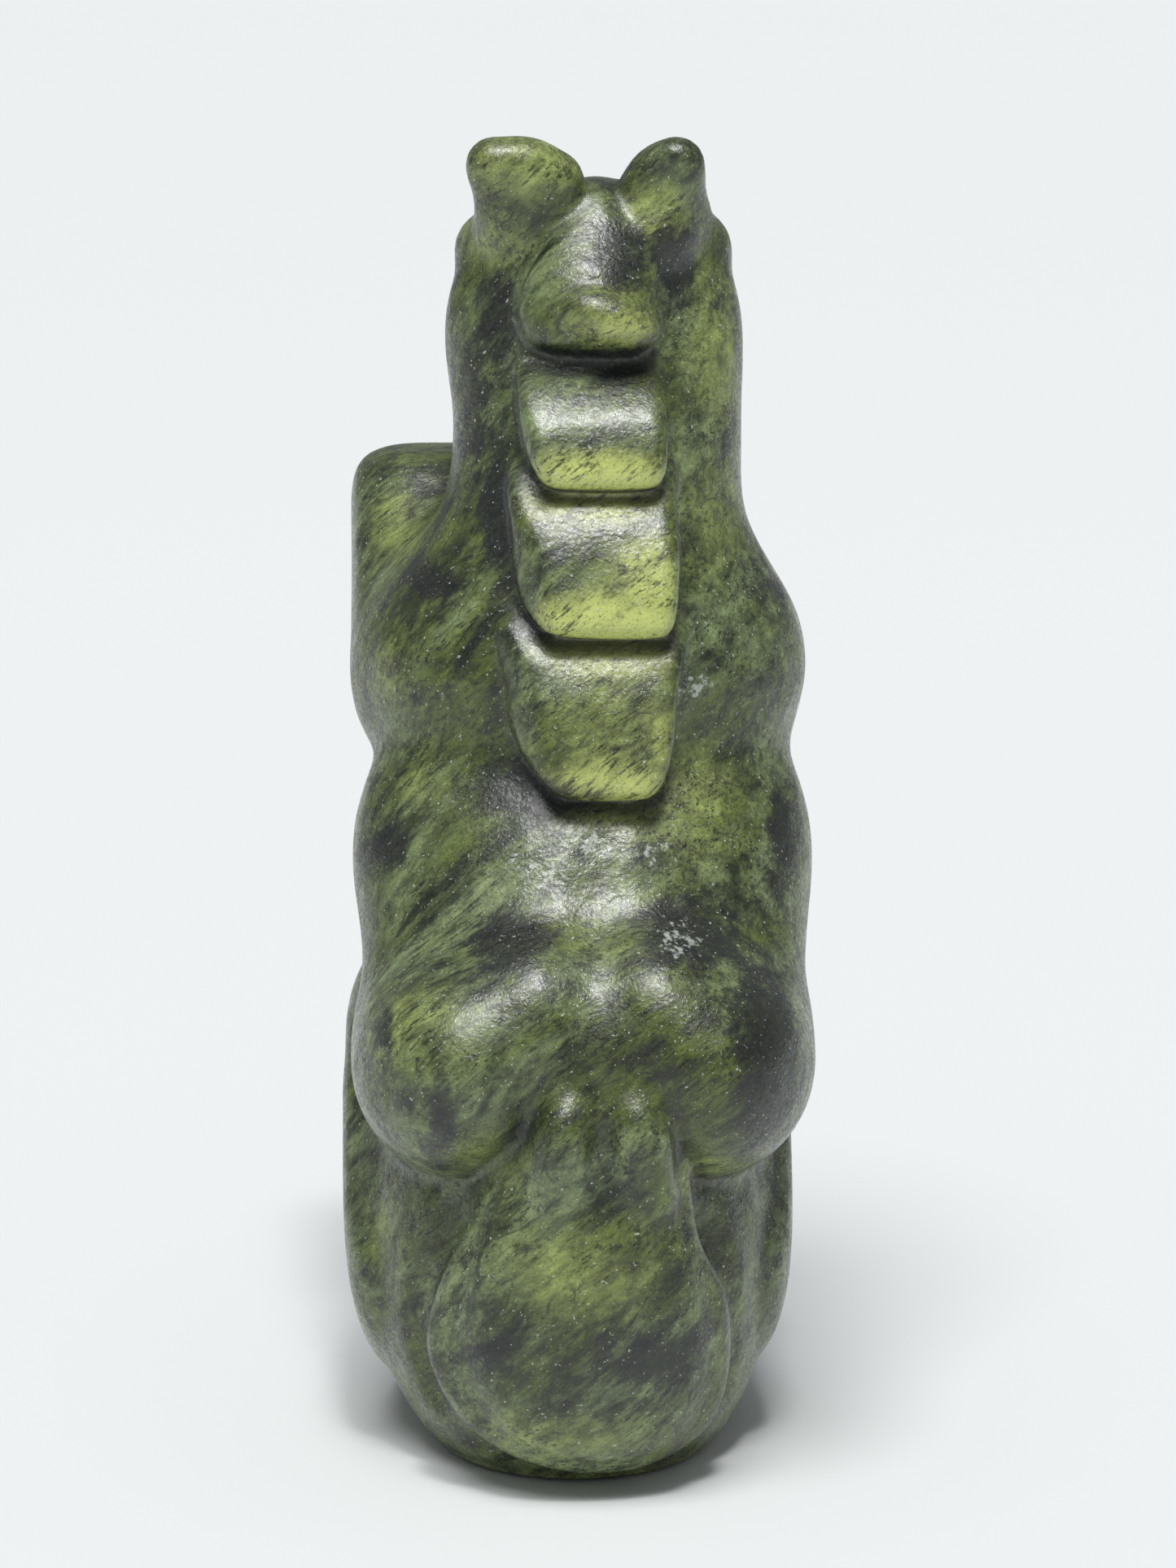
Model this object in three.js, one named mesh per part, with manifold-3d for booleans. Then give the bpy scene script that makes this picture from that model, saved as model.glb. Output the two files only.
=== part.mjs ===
// A small jade horse, rearing over a rounded rock and looking ahead, with a stepped mane and a
// fanned tail that runs down into the rock.
//
// The real object is one carved stone. Each mesh here is one carved feature of it, so that the
// features have names and each is a simple solid. Neighbouring features are cut back from each
// other by a thin, even gap, and nothing moves.
//
// Millimetres. +X is the horse's right side seen from behind, +Y is the way it faces, +Z is up.
// The origin is the middle of the flat foot that it stands on.

import * as THREE from "three";
import { LoftGeometry } from "three/addons/geometries/LoftGeometry.js";
import { mergeVertices } from "three/addons/utils/BufferGeometryUtils.js";
import Module from "manifold-3d";

const wasm = await Module();
wasm.setup();

// ---- Driving dimensions ----------------------------------------------------------------------

const GAP = 0.3; // between neighbouring features
const HALF_WIDTH = 14.2; // of the whole carving, at the haunches
const FOOT = { halfWidth: 6.8, back: -13.5, front: 13.5 }; // the flat that it stands on
const HAUNCH = { x: 6.9, y: -7.5, z: 25, width: 7.3, depth: 10.8, height: 7.4, pitch: -8 };
const NECK_LEAN = 1.3; // the neck and head stand this far to +X of the body
const ROCK_LEAN = -0.5; // the rock bulges this far the other way
const MANE = { x: 0.85, depth: 5 }; // its centre line, and how deep each step is set
const SIDES = 16; // of a ring

// ---- Small tools -----------------------------------------------------------------------------

// A closed three.js geometry as a solid.
function solid(geometry) {
  const bare = geometry.index ? geometry.toNonIndexed() : geometry.clone();
  for (const name of Object.keys(bare.attributes)) {
    if (name !== "position") bare.deleteAttribute(name);
  }
  const merged = mergeVertices(bare, 1e-4);
  const corners = [];
  // A ring that closes to a point leaves triangles with no area.
  for (let i = 0; i < merged.index.count; i += 3) {
    const [a, b, c] = [0, 1, 2].map((k) => merged.index.getX(i + k));
    if (a !== b && b !== c && c !== a) corners.push(a, b, c);
  }
  const made = new wasm.Manifold(
    new wasm.Mesh({
      numProp: 3,
      vertProperties: merged.attributes.position.array,
      triVerts: new Uint32Array(corners),
    }),
  );
  if (made.volume() < 0) throw new Error("a geometry's faces point inwards");
  return made;
}

// A solid as a geometry.
function geometryOf(made) {
  const mesh = made.getMesh();
  const places = new Float32Array(mesh.numVert * 3);
  for (let i = 0; i < mesh.numVert; i++) {
    const from = i * mesh.numProp;
    places.set(mesh.vertProperties.subarray(from, from + 3), i * 3);
  }
  const geometry = new THREE.BufferGeometry();
  geometry.setAttribute("position", new THREE.BufferAttribute(places, 3));
  geometry.setIndex(new THREE.BufferAttribute(mesh.triVerts, 1));
  return geometry;
}

// An egg: a sphere scaled to three half sizes, then turned nose up about X by pitch degrees.
function egg([x, y, z], [halfX, halfY, halfZ], pitch = 0, grow = 0) {
  const geometry = new THREE.SphereGeometry(1, SIDES, Math.round(SIDES * 0.7));
  geometry.scale(halfX + grow, halfY + grow, halfZ + grow);
  geometry.rotateX(THREE.MathUtils.degToRad(pitch));
  geometry.translate(x, y, z);
  return solid(geometry);
}

// A limb: oval rings along a smooth path, with round ends. A stop is
// [x, y, z, half width across X, half thickness in the YZ plane].
function limb(stops, grow = 0, steps = 6) {
  const path = new THREE.CatmullRomCurve3(stops.map(([x, y, z]) => new THREE.Vector3(x, y, z)));
  const sizes = new THREE.CatmullRomCurve3(stops.map(([, , , w, d]) => new THREE.Vector3(w, d, 0)));
  const across = new THREE.Vector3(1, 0, 0);

  function ring(t, along, shrink) {
    const tangent = path.getTangent(t);
    const centre = path.getPoint(t);
    const size = sizes.getPoint(t);
    const up = new THREE.Vector3().crossVectors(tangent, across).normalize();
    const side = new THREE.Vector3().crossVectors(up, tangent).normalize();
    centre.addScaledVector(tangent, along * (Math.min(size.x, size.y) + grow));
    return Array.from({ length: SIDES }, (_, i) => {
      const angle = (2 * Math.PI * i) / SIDES;
      return centre
        .clone()
        .addScaledVector(side, Math.cos(angle) * (size.x + grow) * shrink)
        .addScaledVector(up, Math.sin(angle) * (size.y + grow) * shrink);
    });
  }

  const ends = [90, 62, 32].map(THREE.MathUtils.degToRad);
  const rings = [
    ...ends.map((a) => ring(0, -Math.sin(a), Math.cos(a))),
    ...Array.from({ length: steps + 1 }, (_, i) => ring(i / steps, 0, 1)),
    ...ends.reverse().map((a) => ring(1, Math.sin(a), Math.cos(a))),
  ];
  return solid(new LoftGeometry(rings));
}

// A stack of level rings, each a rounded oblong, closed flat below and above. A level is
// [z, half width, back y, front y].
function stack(levels, { x = 0, squareness = 0.85, sides = SIDES } = {}, grow = 0) {
  const bulge = (value) => Math.sign(value) * Math.abs(value) ** squareness;
  const rings = levels.map(([z, halfWidth, back, front], i) => {
    const halfLength = (front - back) / 2 + grow;
    const end = i === 0 ? -grow : i === levels.length - 1 ? grow : 0;
    return Array.from({ length: sides }, (_, k) => {
      const angle = (2 * Math.PI * (k + 0.5)) / sides;
      return new THREE.Vector3(
        x + bulge(Math.cos(angle)) * (halfWidth + grow),
        (back + front) / 2 + bulge(Math.sin(angle)) * halfLength,
        z + end,
      );
    });
  });
  return solid(new LoftGeometry(rings, { capStart: true, capEnd: true }));
}

const mirrored = (stops) => stops.map(([x, ...rest]) => [-x, ...rest]);

// ---- The carved features, each as a function of how far it is grown ---------------------------

const features = {};

// Rock that the horse rises from, with the flat foot underneath.
features.rock_base = (grow) =>
  stack(
    [
      [0, FOOT.halfWidth, FOOT.back, FOOT.front],
      [1.2, 8.9, -14.8, 15.4],
      [3.2, 11, -16, 16.8],
      [6.2, 12.7, -16.8, 17.8],
      [9.5, 13.5, -16.8, 18],
      [13, 13.6, -15.6, 17.4],
      [16.5, 12.6, -12.6, 16.2],
      [19, 10.4, -8, 14],
    ],
    { x: ROCK_LEAN, sides: 26 },
    grow,
  );

// Rock left standing under the belly and chest.
features.rock_column = (grow) =>
  limb(
    [
      [0, 2.8, 13.4, 9.6, 13.4],
      [0, 5.6, 21.6, 9.2, 10.8],
      [0, 10, 31.6, 8, 7.6],
    ],
    grow,
  );

// Both haunches bulge past everything below them.
function haunch(side, grow) {
  const { x, y, z, width, depth, height, pitch } = HAUNCH;
  return egg([side * x, y, z], [width, depth, height], pitch, grow);
}
features.left_haunch = (grow) => haunch(-1, grow);
features.right_haunch = (grow) => haunch(1, grow);

// Stifle in front of the haunch, hock behind, and hoof set on the rock.
const HIND_LEG = [
  [9.5, 4.4, 23, 4.5, 4.8],
  [9.9, 1, 16.8, 3.9, 4.4],
  [9.8, -3.4, 11.6, 3.7, 3.6],
  [9.4, -1.6, 7.2, 3.4, 2.8],
];
features.right_hind_leg = (grow) => limb(HIND_LEG, grow);
features.left_hind_leg = (grow) => limb(mirrored(HIND_LEG), grow);

// Dock at the top, then a fan that widens and settles on the rock.
features.tail = (grow) =>
  limb(
    [
      [0.7, -13.6, 23, 4.6, 4.4],
      [0.5, -13.2, 18.6, 6, 5.4],
      [-0.3, -12.8, 12.8, 9, 5.8],
      [-0.4, -11.8, 7.8, 9.3, 5.4],
      [0, -10.8, 4.8, 7, 3.8],
    ],
    grow,
  );

// Ribcage, rising from the haunches and drawn in a little below the chest.
features.barrel = (grow) =>
  limb(
    [
      [0.1, -1.6, 30.4, HALF_WIDTH - 0.8, 9.4],
      [0.1, 1.6, 35.2, HALF_WIDTH - 0.1, 9.8],
      [0.4, 4, 39.8, HALF_WIDTH - 1.2, 9.2],
    ],
    grow,
  );

// Shoulders and chest.
const CHEST = { x: 0.5, y: 6.8, z: 47.8, depth: 11.2, height: 8.4, pitch: 18 };
features.chest = (grow) => {
  const { x, y, z, depth, height, pitch } = CHEST;
  return egg([x, y, z], [HALF_WIDTH - 0.6, depth, height], pitch, grow);
};

// The left foreleg is raised, its knee high beside the neck; the right one is carried lower.
features.left_foreleg = (grow) =>
  limb(
    [
      [-9.1, 11.5, 46.5, 5, 5],
      [-9.2, 15.6, 51.6, 4.9, 4.6],
      [-9.4, 19.8, 55, 4.6, 4],
      [-9, 22, 50.2, 3.2, 3],
      [-8.6, 19.6, 44.8, 2.8, 2.8],
    ],
    grow,
    8,
  );
features.right_foreleg = (grow) =>
  limb(
    [
      [9.2, 12, 42.5, 4.6, 4.6],
      [9.4, 17.6, 45.2, 4.3, 4.2],
      [9.4, 22, 46.6, 4, 3.8],
      [9, 23.2, 41.8, 3, 3],
      [8.6, 20.4, 36.8, 2.7, 2.8],
    ],
    grow,
    8,
  );

// Thick neck, nearly upright.
features.neck = (grow) =>
  limb(
    [
      [0.5, 5.6, 49.5, 12, 9.4],
      [1, 6.2, 56.5, 9.4, 8.6],
      [NECK_LEAN, 7.4, 64, 8.9, 7.6],
      [NECK_LEAN, 8.8, 71, 8.1, 5.4],
    ],
    grow,
  );

// Head carried low in front of the neck: skull and cheeks, then the long nose.
features.head = (grow) =>
  limb(
    [
      [NECK_LEAN, 10.6, 72.2, 7.4, 4.6],
      [NECK_LEAN + 0.1, 13.2, 69, 8.6, 6.2],
      [NECK_LEAN + 0.2, 15.8, 65.2, 8, 6.6],
      [NECK_LEAN, 18.8, 60.8, 5.6, 5.2],
      [NECK_LEAN, 20.6, 57.8, 5, 4.6],
    ],
    grow,
  );

// Short blunt ears, pricked and leaning out.
features.left_ear = (grow) =>
  limb(
    [
      [-1.4, 7.6, 74.6, 2.8, 2.4],
      [-3, 6.4, 77, 2.6, 2.2],
      [-4.8, 5.6, 78.1, 1.9, 1.8],
    ],
    grow,
    4,
  );
features.right_ear = (grow) =>
  limb(
    [
      [3.8, 7.6, 74.2, 2.6, 2.4],
      [5, 6.6, 76.8, 2.4, 2.2],
      [5.9, 6, 78.2, 1.9, 1.7],
    ],
    grow,
    4,
  );

// One step of the mane: a thick tongue of hair whose rounded lip hangs out over the next step.
function maneStep({ lip, top, halfWidth, taper }, grow) {
  const [lipY, lipZ] = lip;
  const [topY, topZ] = top;
  const front = topY + MANE.depth;
  const level = (z, share, y, depth = front - y) => [z, halfWidth * share, y, y + depth];
  return stack(
    [
      level(lipZ, 0.62, lipY + 0.9, 2.1),
      level(lipZ + 0.7, 0.86, lipY + 0.25, 4),
      level(lipZ + 2, 0.97, lipY),
      level(lipZ + 4, 1, THREE.MathUtils.lerp(lipY, topY, 0.25)),
      level(topZ, taper, topY),
    ],
    { x: MANE.x, squareness: 0.7 },
    grow,
  );
}

// From the poll down to the withers: where each step's lip and top are, in YZ.
const STEPS = [
  { lip: [-0.6, 67.2], top: [4.4, 75.2], halfWidth: 4.1, taper: 0.55 },
  { lip: [-3.8, 58.8], top: [0.4, 66.8], halfWidth: 4.4, taper: 0.92 },
  { lip: [-6.4, 50.3], top: [-2.6, 58.4], halfWidth: 4.9, taper: 0.88 },
  { lip: [-8.4, 40.8], top: [-5, 49.9], halfWidth: 4.9, taper: 0.94 },
];
STEPS.forEach((step, i) => {
  features[`mane_lock_${i + 1}`] = (grow) => maneStep(step, grow);
});

// ---- Cutting the features apart ---------------------------------------------------------------

// Each feature gives way to the ones before it in this list.
const ORDER = [
  "mane_lock_1",
  "mane_lock_2",
  "mane_lock_3",
  "mane_lock_4",
  "left_ear",
  "right_ear",
  "tail",
  "left_haunch",
  "right_haunch",
  "left_foreleg",
  "right_foreleg",
  "head",
  "neck",
  "chest",
  "barrel",
  "left_hind_leg",
  "right_hind_leg",
  "rock_column",
  "rock_base",
];

const midplaneSide = { left_haunch: -1, right_haunch: 1 };

// The haunches stop short of the midplane between them.
function heldToItsSide(name, made) {
  const side = midplaneSide[name];
  if (!side) return made;
  const reach = 60; // past anything in the carving
  const keep = new THREE.BoxGeometry(reach, 2 * reach, 2 * reach);
  keep.translate(side * (reach / 2 + GAP / 2), 0, 0);
  return made.intersect(solid(keep));
}

// The largest of a cut feature's bodies: slivers that a cut leaves are dropped.
function largestBody(made) {
  return made.decompose().reduce((a, b) => (b.volume() > a.volume() ? b : a));
}

const COLOURS = {
  mane: 0x93a04e,
  tail: 0x6f8045,
  rock: 0x66754a,
  other: 0x6c7b46,
};

const jadeHorse = new THREE.Group();
ORDER.forEach((name, i) => {
  let made = heldToItsSide(name, features[name](0));
  for (const earlier of ORDER.slice(0, i)) made = made.subtract(features[earlier](GAP));
  const family = Object.keys(COLOURS).find((key) => name.startsWith(key)) ?? "other";
  const material = new THREE.MeshStandardMaterial({
    color: COLOURS[family],
    roughness: 0.32,
    metalness: 0,
  });
  const mesh = new THREE.Mesh(geometryOf(largestBody(made)), material);
  mesh.name = name;
  jadeHorse.add(mesh);
});

export default jadeHorse;
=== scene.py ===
"""A small jade horse on a pale floor, seen from behind and a little above.

Places are in millimetres in a drawing of the carving, and at() fits them to the box of the CAD
frame. Radii and reaches are plain millimetres. The carving is one stone, so one mesh stands for all
the nodes. It is drawn as a distance field (negative inside the stone), because creases, lips and
soft swellings are how a carver's burr shapes it.
"""

import itertools
import math

import bpy
import numpy as np
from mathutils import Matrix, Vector


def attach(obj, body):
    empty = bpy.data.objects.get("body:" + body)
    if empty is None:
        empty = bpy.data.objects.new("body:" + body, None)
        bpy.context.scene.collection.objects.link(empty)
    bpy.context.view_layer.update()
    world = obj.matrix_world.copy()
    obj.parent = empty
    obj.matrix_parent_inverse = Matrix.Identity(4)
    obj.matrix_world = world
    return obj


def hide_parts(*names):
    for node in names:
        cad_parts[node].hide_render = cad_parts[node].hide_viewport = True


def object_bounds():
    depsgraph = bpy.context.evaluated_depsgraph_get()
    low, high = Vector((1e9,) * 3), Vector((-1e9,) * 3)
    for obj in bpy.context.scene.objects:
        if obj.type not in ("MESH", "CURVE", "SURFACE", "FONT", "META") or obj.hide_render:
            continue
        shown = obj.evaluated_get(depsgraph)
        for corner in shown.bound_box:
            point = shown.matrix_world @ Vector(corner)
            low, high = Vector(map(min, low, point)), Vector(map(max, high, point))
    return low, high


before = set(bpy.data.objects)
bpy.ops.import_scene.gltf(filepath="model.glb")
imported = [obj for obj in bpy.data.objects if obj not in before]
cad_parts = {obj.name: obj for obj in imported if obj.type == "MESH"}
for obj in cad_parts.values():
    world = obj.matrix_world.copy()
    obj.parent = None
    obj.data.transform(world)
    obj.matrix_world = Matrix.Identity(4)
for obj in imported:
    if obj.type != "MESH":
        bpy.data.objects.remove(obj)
cad_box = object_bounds()

MM = 0.001
VOXEL = 0.4  # of the field, in millimetres
PAD = 2.0  # empty space round the stone in the field, in millimetres
EMPTY = 20.0  # what the field holds before any stone is added
ENDLESS = 1e3  # millimetres; past every edge of the field
SOFTENING = 5  # passes that even out the ridges where large shapes join

# ---- Places ------------------------------------------------------------------------------------

# The box that the carving is drawn in, in millimetres, and the frame's box that its places are
# fitted to.
DRAWN_LOW = np.array((-14.1, -18.8, 0))
DRAWN_HIGH = np.array((14.2, 26.3, 79.9))
FRAME_LOW, FRAME_HIGH = (np.array(corner) / MM for corner in cad_box)
FIT = (FRAME_HIGH - FRAME_LOW) / (DRAWN_HIGH - DRAWN_LOW)
SIDES = (-1, 1)  # left and right


def at(x, y, z):
    """A place in the drawing as a place in the frame, both in millimetres."""
    return FRAME_LOW + ((x, y, z) - DRAWN_LOW) * FIT


# ---- Distance shapes ---------------------------------------------------------------------------


class Shape:
    """A distance function of X, Y, Z, and the box outside which it doesn't matter."""

    def __init__(self, distance, low, high):
        self.distance = distance
        self.low = np.array(low, float)
        self.high = np.array(high, float)


def turn_matrix(pitch=0.0, roll=0.0, yaw=0.0):
    """Degrees: pitch lifts +Y, roll lifts +X, yaw turns +X towards +Y."""
    a, b, c = (math.radians(v) for v in (pitch, roll, yaw))
    about_x = np.array([[1, 0, 0], [0, math.cos(a), -math.sin(a)], [0, math.sin(a), math.cos(a)]])
    about_y = np.array([[math.cos(b), 0, -math.sin(b)], [0, 1, 0], [math.sin(b), 0, math.cos(b)]])
    about_z = np.array([[math.cos(c), -math.sin(c), 0], [math.sin(c), math.cos(c), 0], [0, 0, 1]])
    return about_z @ about_y @ about_x


def oval_distance(parts, radii):
    """Distance to an oval of those radii, near enough close to its surface."""
    near = sum((p / r) ** 2 for p, r in zip(parts, radii))
    steep = sum((p / (r * r)) ** 2 for p, r in zip(parts, radii))
    near = np.sqrt(near)
    return near * (near - 1) / np.sqrt(steep + 1e-9)


def egg(centre, half, **turned):
    turn = turn_matrix(**turned)
    reach = np.abs(turn) @ np.array(half, float)

    def distance(x, y, z):
        offset = (x - centre[0], y - centre[1], z - centre[2])
        local = [sum(turn[row][axis] * offset[row] for row in range(3)) for axis in range(3)]
        return oval_distance(local, half)

    return Shape(distance, centre - reach, centre + reach)


def smooth_path(points, steps=5):
    """A Catmull-Rom curve through the points, whatever each point holds."""
    p = np.array(points, float)
    p = np.vstack([2 * p[0] - p[1], p, 2 * p[-1] - p[-2]])
    out = []
    for i in range(1, len(p) - 2):
        for t in np.arange(steps) / steps:
            a = 2 * p[i]
            b = p[i + 1] - p[i - 1]
            c = 2 * p[i - 1] - 5 * p[i] + 4 * p[i + 1] - p[i + 2]
            d = -p[i - 1] + 3 * p[i] - 3 * p[i + 1] + p[i + 2]
            out.append((a + b * t + c * t * t + d * t**3) / 2)
    return np.array(out + [p[-2]])


def limb(stops, steps=5):
    """A rounded limb through stops of (point, half width across X, half thickness)."""
    path = smooth_path([[*point, wide, thick] for point, wide, thick in stops], steps)
    most = path[:, 3:].max()

    def distance(x, y, z):
        best = None
        for start, end in zip(path[:-1], path[1:]):
            along = end[:3] - start[:3]
            offset = (x - start[0], y - start[1], z - start[2])
            t = sum(o * a for o, a in zip(offset, along)) / (along @ along)
            t = np.clip(t, 0, 1)
            side = offset[0] - t * along[0]
            rest = np.sqrt((offset[1] - t * along[1]) ** 2 + (offset[2] - t * along[2]) ** 2)
            wide = start[3] + t * (end[3] - start[3])
            thick = start[4] + t * (end[4] - start[4])
            d = oval_distance((side, rest), (wide, thick))
            best = d if best is None else np.minimum(best, d)
        return best

    return Shape(distance, path[:, :3].min(0) - most, path[:, :3].max(0) + most)


def outline_distance(outline, u, v):
    """Signed distance in a plane to a closed outline of points."""
    best = np.full(np.broadcast_shapes(u.shape, v.shape), 1e9)
    inside = np.zeros(best.shape, bool)
    for (u0, v0), (u1, v1) in zip(outline, np.roll(outline, -1, axis=0)):
        eu, ev = u1 - u0, v1 - v0
        t = np.clip(((u - u0) * eu + (v - v0) * ev) / (eu * eu + ev * ev + 1e-12), 0, 1)
        best = np.minimum(best, (u - u0 - t * eu) ** 2 + (v - v0 - t * ev) ** 2)
        crosses = (v0 > v) != (v1 > v)
        inside ^= crosses & (u < (u1 - u0) * (v - v0) / (v1 - v0 + 1e-12) + u0)
    return np.where(inside, -1, 1) * np.sqrt(best)


def rounded(points, steps=5):
    """A closed outline curved through its points."""
    p = np.array(points, float)
    looped = np.vstack([p[-1], p, p[0], p[1]])
    return smooth_path(looped, steps)[steps:-steps - 1]


def seen_from_behind(points, y_low, y_high):
    """A closed outline in XZ, carried along Y."""
    outline = rounded([at(x, 0, z)[[0, 2]] for x, z in points])
    (x0, z0), (x1, z1) = outline.min(0), outline.max(0)
    return Shape(
        lambda x, y, z: outline_distance(outline, x + 0 * z, z + 0 * x) + 0 * y,
        (x0, y_low, z0),
        (x1, y_high, z1),
    )


def seen_from_side(points, x_low, x_high):
    """A closed outline in YZ, carried along X."""
    outline = rounded([at(0, y, z)[[1, 2]] for y, z in points])
    (y0, z0), (y1, z1) = outline.min(0), outline.max(0)
    return Shape(
        lambda x, y, z: outline_distance(outline, y + 0 * z, z + 0 * y) + 0 * x,
        (x_low, y0, z0),
        (x_high, y1, z1),
    )


def soft_least(a, b, blend):
    """The lesser of two distances, with the corner between them rounded over blend."""
    h = np.clip(0.5 + 0.5 * (b - a) / blend, 0, 1)
    return b + (a - b) * h - blend * h * (1 - h)


def soft_most(a, b, blend):
    return -soft_least(-a, -b, blend)


def flat(point, out):
    """Everything on the inner side of a plane."""
    out = np.array(out, float) / np.linalg.norm(out)

    def distance(x, y, z):
        return out[0] * (x - point[0]) + out[1] * (y - point[1]) + out[2] * (z - point[2])

    return Shape(distance, np.full(3, -ENDLESS), np.full(3, ENDLESS))


def both(a, b, blend):
    """Where two shapes overlap, with the edge between them rounded over blend."""
    return Shape(
        lambda x, y, z: soft_most(a.distance(x, y, z), b.distance(x, y, z), blend),
        np.maximum(a.low, b.low),
        np.minimum(a.high, b.high),
    )


class Stone:
    """The distance field of the carving, on a grid of points."""

    def __init__(self, low, high):
        self.low = np.array(low) - PAD
        self.count = np.ceil((np.array(high) + PAD - self.low) / VOXEL).astype(int) + 1
        self.values = np.full(self.count, EMPTY, np.float32)

    def window(self, shape, margin):
        start = np.clip(np.floor((shape.low - margin - self.low) / VOXEL), 0, self.count - 1)
        stop = np.clip(np.ceil((shape.high + margin - self.low) / VOXEL) + 1, 1, self.count)
        span = [slice(int(a), int(max(a + 1, b))) for a, b in zip(start, stop)]
        axes = [self.low[k] + VOXEL * np.arange(s.start, s.stop) for k, s in enumerate(span)]
        x, y, z = (a.astype(np.float32) for a in axes)
        return tuple(span), (x[:, None, None], y[None, :, None], z[None, None, :])

    def add(self, shape, blend=1.0):
        span, (x, y, z) = self.window(shape, blend + 2 * VOXEL)
        self.values[span] = soft_least(self.values[span], shape.distance(x, y, z), blend)

    def cut(self, shape, blend=0.6):
        span, (x, y, z) = self.window(shape, blend + 2 * VOXEL)
        self.values[span] = soft_most(self.values[span], -shape.distance(x, y, z), blend)

    def raise_patch(self, shape, height, blend=0.6):
        """The surface inside the shape stands proud by height, with a stepped edge."""
        span, (x, y, z) = self.window(shape, blend + height + 2 * VOXEL)
        here = self.values[span]
        lifted = soft_most(here - height, shape.distance(x, y, z), blend)
        self.values[span] = soft_least(here, lifted, blend)

    def engrave(self, shape, depth, width):
        """A groove in the surface along the edge of a shape, width to either side."""
        span, (x, y, z) = self.window(shape, width + 2 * VOXEL)
        here = self.values[span]
        band = width - np.abs(shape.distance(x, y, z))
        groove = soft_least(band, here + depth, depth / 2)
        self.values[span] = soft_most(here, groove, width)

    def join(self, other, blend):
        self.values = soft_least(self.values, other.values, blend)

    def soften(self, passes):
        """Evens out small ridges where shapes join."""
        for _ in range(passes):
            for axis in range(3):
                v = np.pad(self.values, [(1, 1) if a == axis else (0, 0) for a in range(3)], "edge")
                count = self.values.shape[axis]
                before, here, after = (np.take(v, range(k, k + count), axis) for k in range(3))
                self.values = (before + 2 * here + after) / 4


# ---- The carving -------------------------------------------------------------------------------


def carve_rock(stone):
    """A boat-shaped boulder that the carving stands on, and the rock left under the belly."""
    hull = egg(at(-0.75, -1, 12), (13.2, 17, 15.6))
    side = seen_from_side(
        [
            (-12.4, -3), (-16.4, 2.4), (-18, 8), (-17, 14), (-14, 20), (-4, 24), (6, 22.6),
            (14, 18.4), (18.8, 11), (18.2, 4.6), (14.6, -3),
        ],
        -20,
        20,
    )
    stone.add(both(hull, side, 3))
    stone.add(egg(at(-0.2, -6, 5.6), (10, 9.4, 8.2)), 2.5)
    stone.add(
        limb(
            [
                (at(0, 2, 14), 9.4, 12.4),
                (at(0, 5.4, 22), 9.2, 10.6),
                (at(0, 9.6, 32), 8.2, 8),
                (at(0.2, 8.6, 42), 8.2, 8),
            ]
        ),
        3,
    )


def carve_trunk(stone):
    stone.add(
        limb(
            [
                (at(0.2, -3.4, 28), 13.4, 9.2),
                (at(0.3, -0.1, 32), 13.9, 10.3),
                (at(0.3, 2.9, 36.6), 14.3, 9.8),
                (at(0.5, 5.2, 42), 12.3, 9),
                (at(0.5, 6.8, 47), 13, 9.4),
            ]
        ),
        2,
    )
    for side in SIDES:
        stone.add(egg(at(side * 6.95, -7.4, 25), (7.2, 10.8, 7.4), pitch=-8), 2.6)
    # The croup rises in two soft swellings beside the dock.
    for side in SIDES:
        stone.add(egg(at(0.6 + side * 3.3, -6.6, 26.8), (5.6, 10.2, 6.4), pitch=-22), 2.8)
    stone.add(egg(at(0.6, -7.4, 25), (5, 9.6, 6.4), pitch=-10), 2.6)
    stone.add(egg(at(0.5, 6.8, 47.4), (13.5, 11, 7.6), pitch=18), 2.4)


def carve_spine(stone):
    """A shallow furrow down the loins, between the last lock and the croup."""
    furrow = [
        at(0.9, -19.2, 29.6),
        at(0.9, -16.4, 33.6),
        at(0.9, -12.3, 36.4),
        at(0.9, -9.6, 39.8),
    ]
    stone.cut(limb([(point, 2, 2) for point in furrow]), 1.2)


def carve_hind_legs(stone):
    """Each leg in relief on the rock: stifle, hock and hoof."""
    for side in SIDES:
        stone.add(egg(at(side * 9.2 - 0.4, 4.4, 23.4), (4.5, 5, 6.8), pitch=-12), 1.2)
        stone.add(
            limb(
                [
                    (at(side * 9.3 - 0.7, 3, 20), 4.3, 4.4),
                    (at(side * 9.6 - 0.8, -3.6, 14.6), 3.8, 4.2),
                    (at(side * 9.4 - 0.8, -5.6, 10.2), 3.5, 3.6),
                    (at(side * 8.4 - 0.6, -1, 6.4), 3.4, 2.8),
                    (at(side * 8.2 - 0.5, 4, 4), 3.5, 2.6),
                ]
            ),
            0.9,
        )


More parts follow.
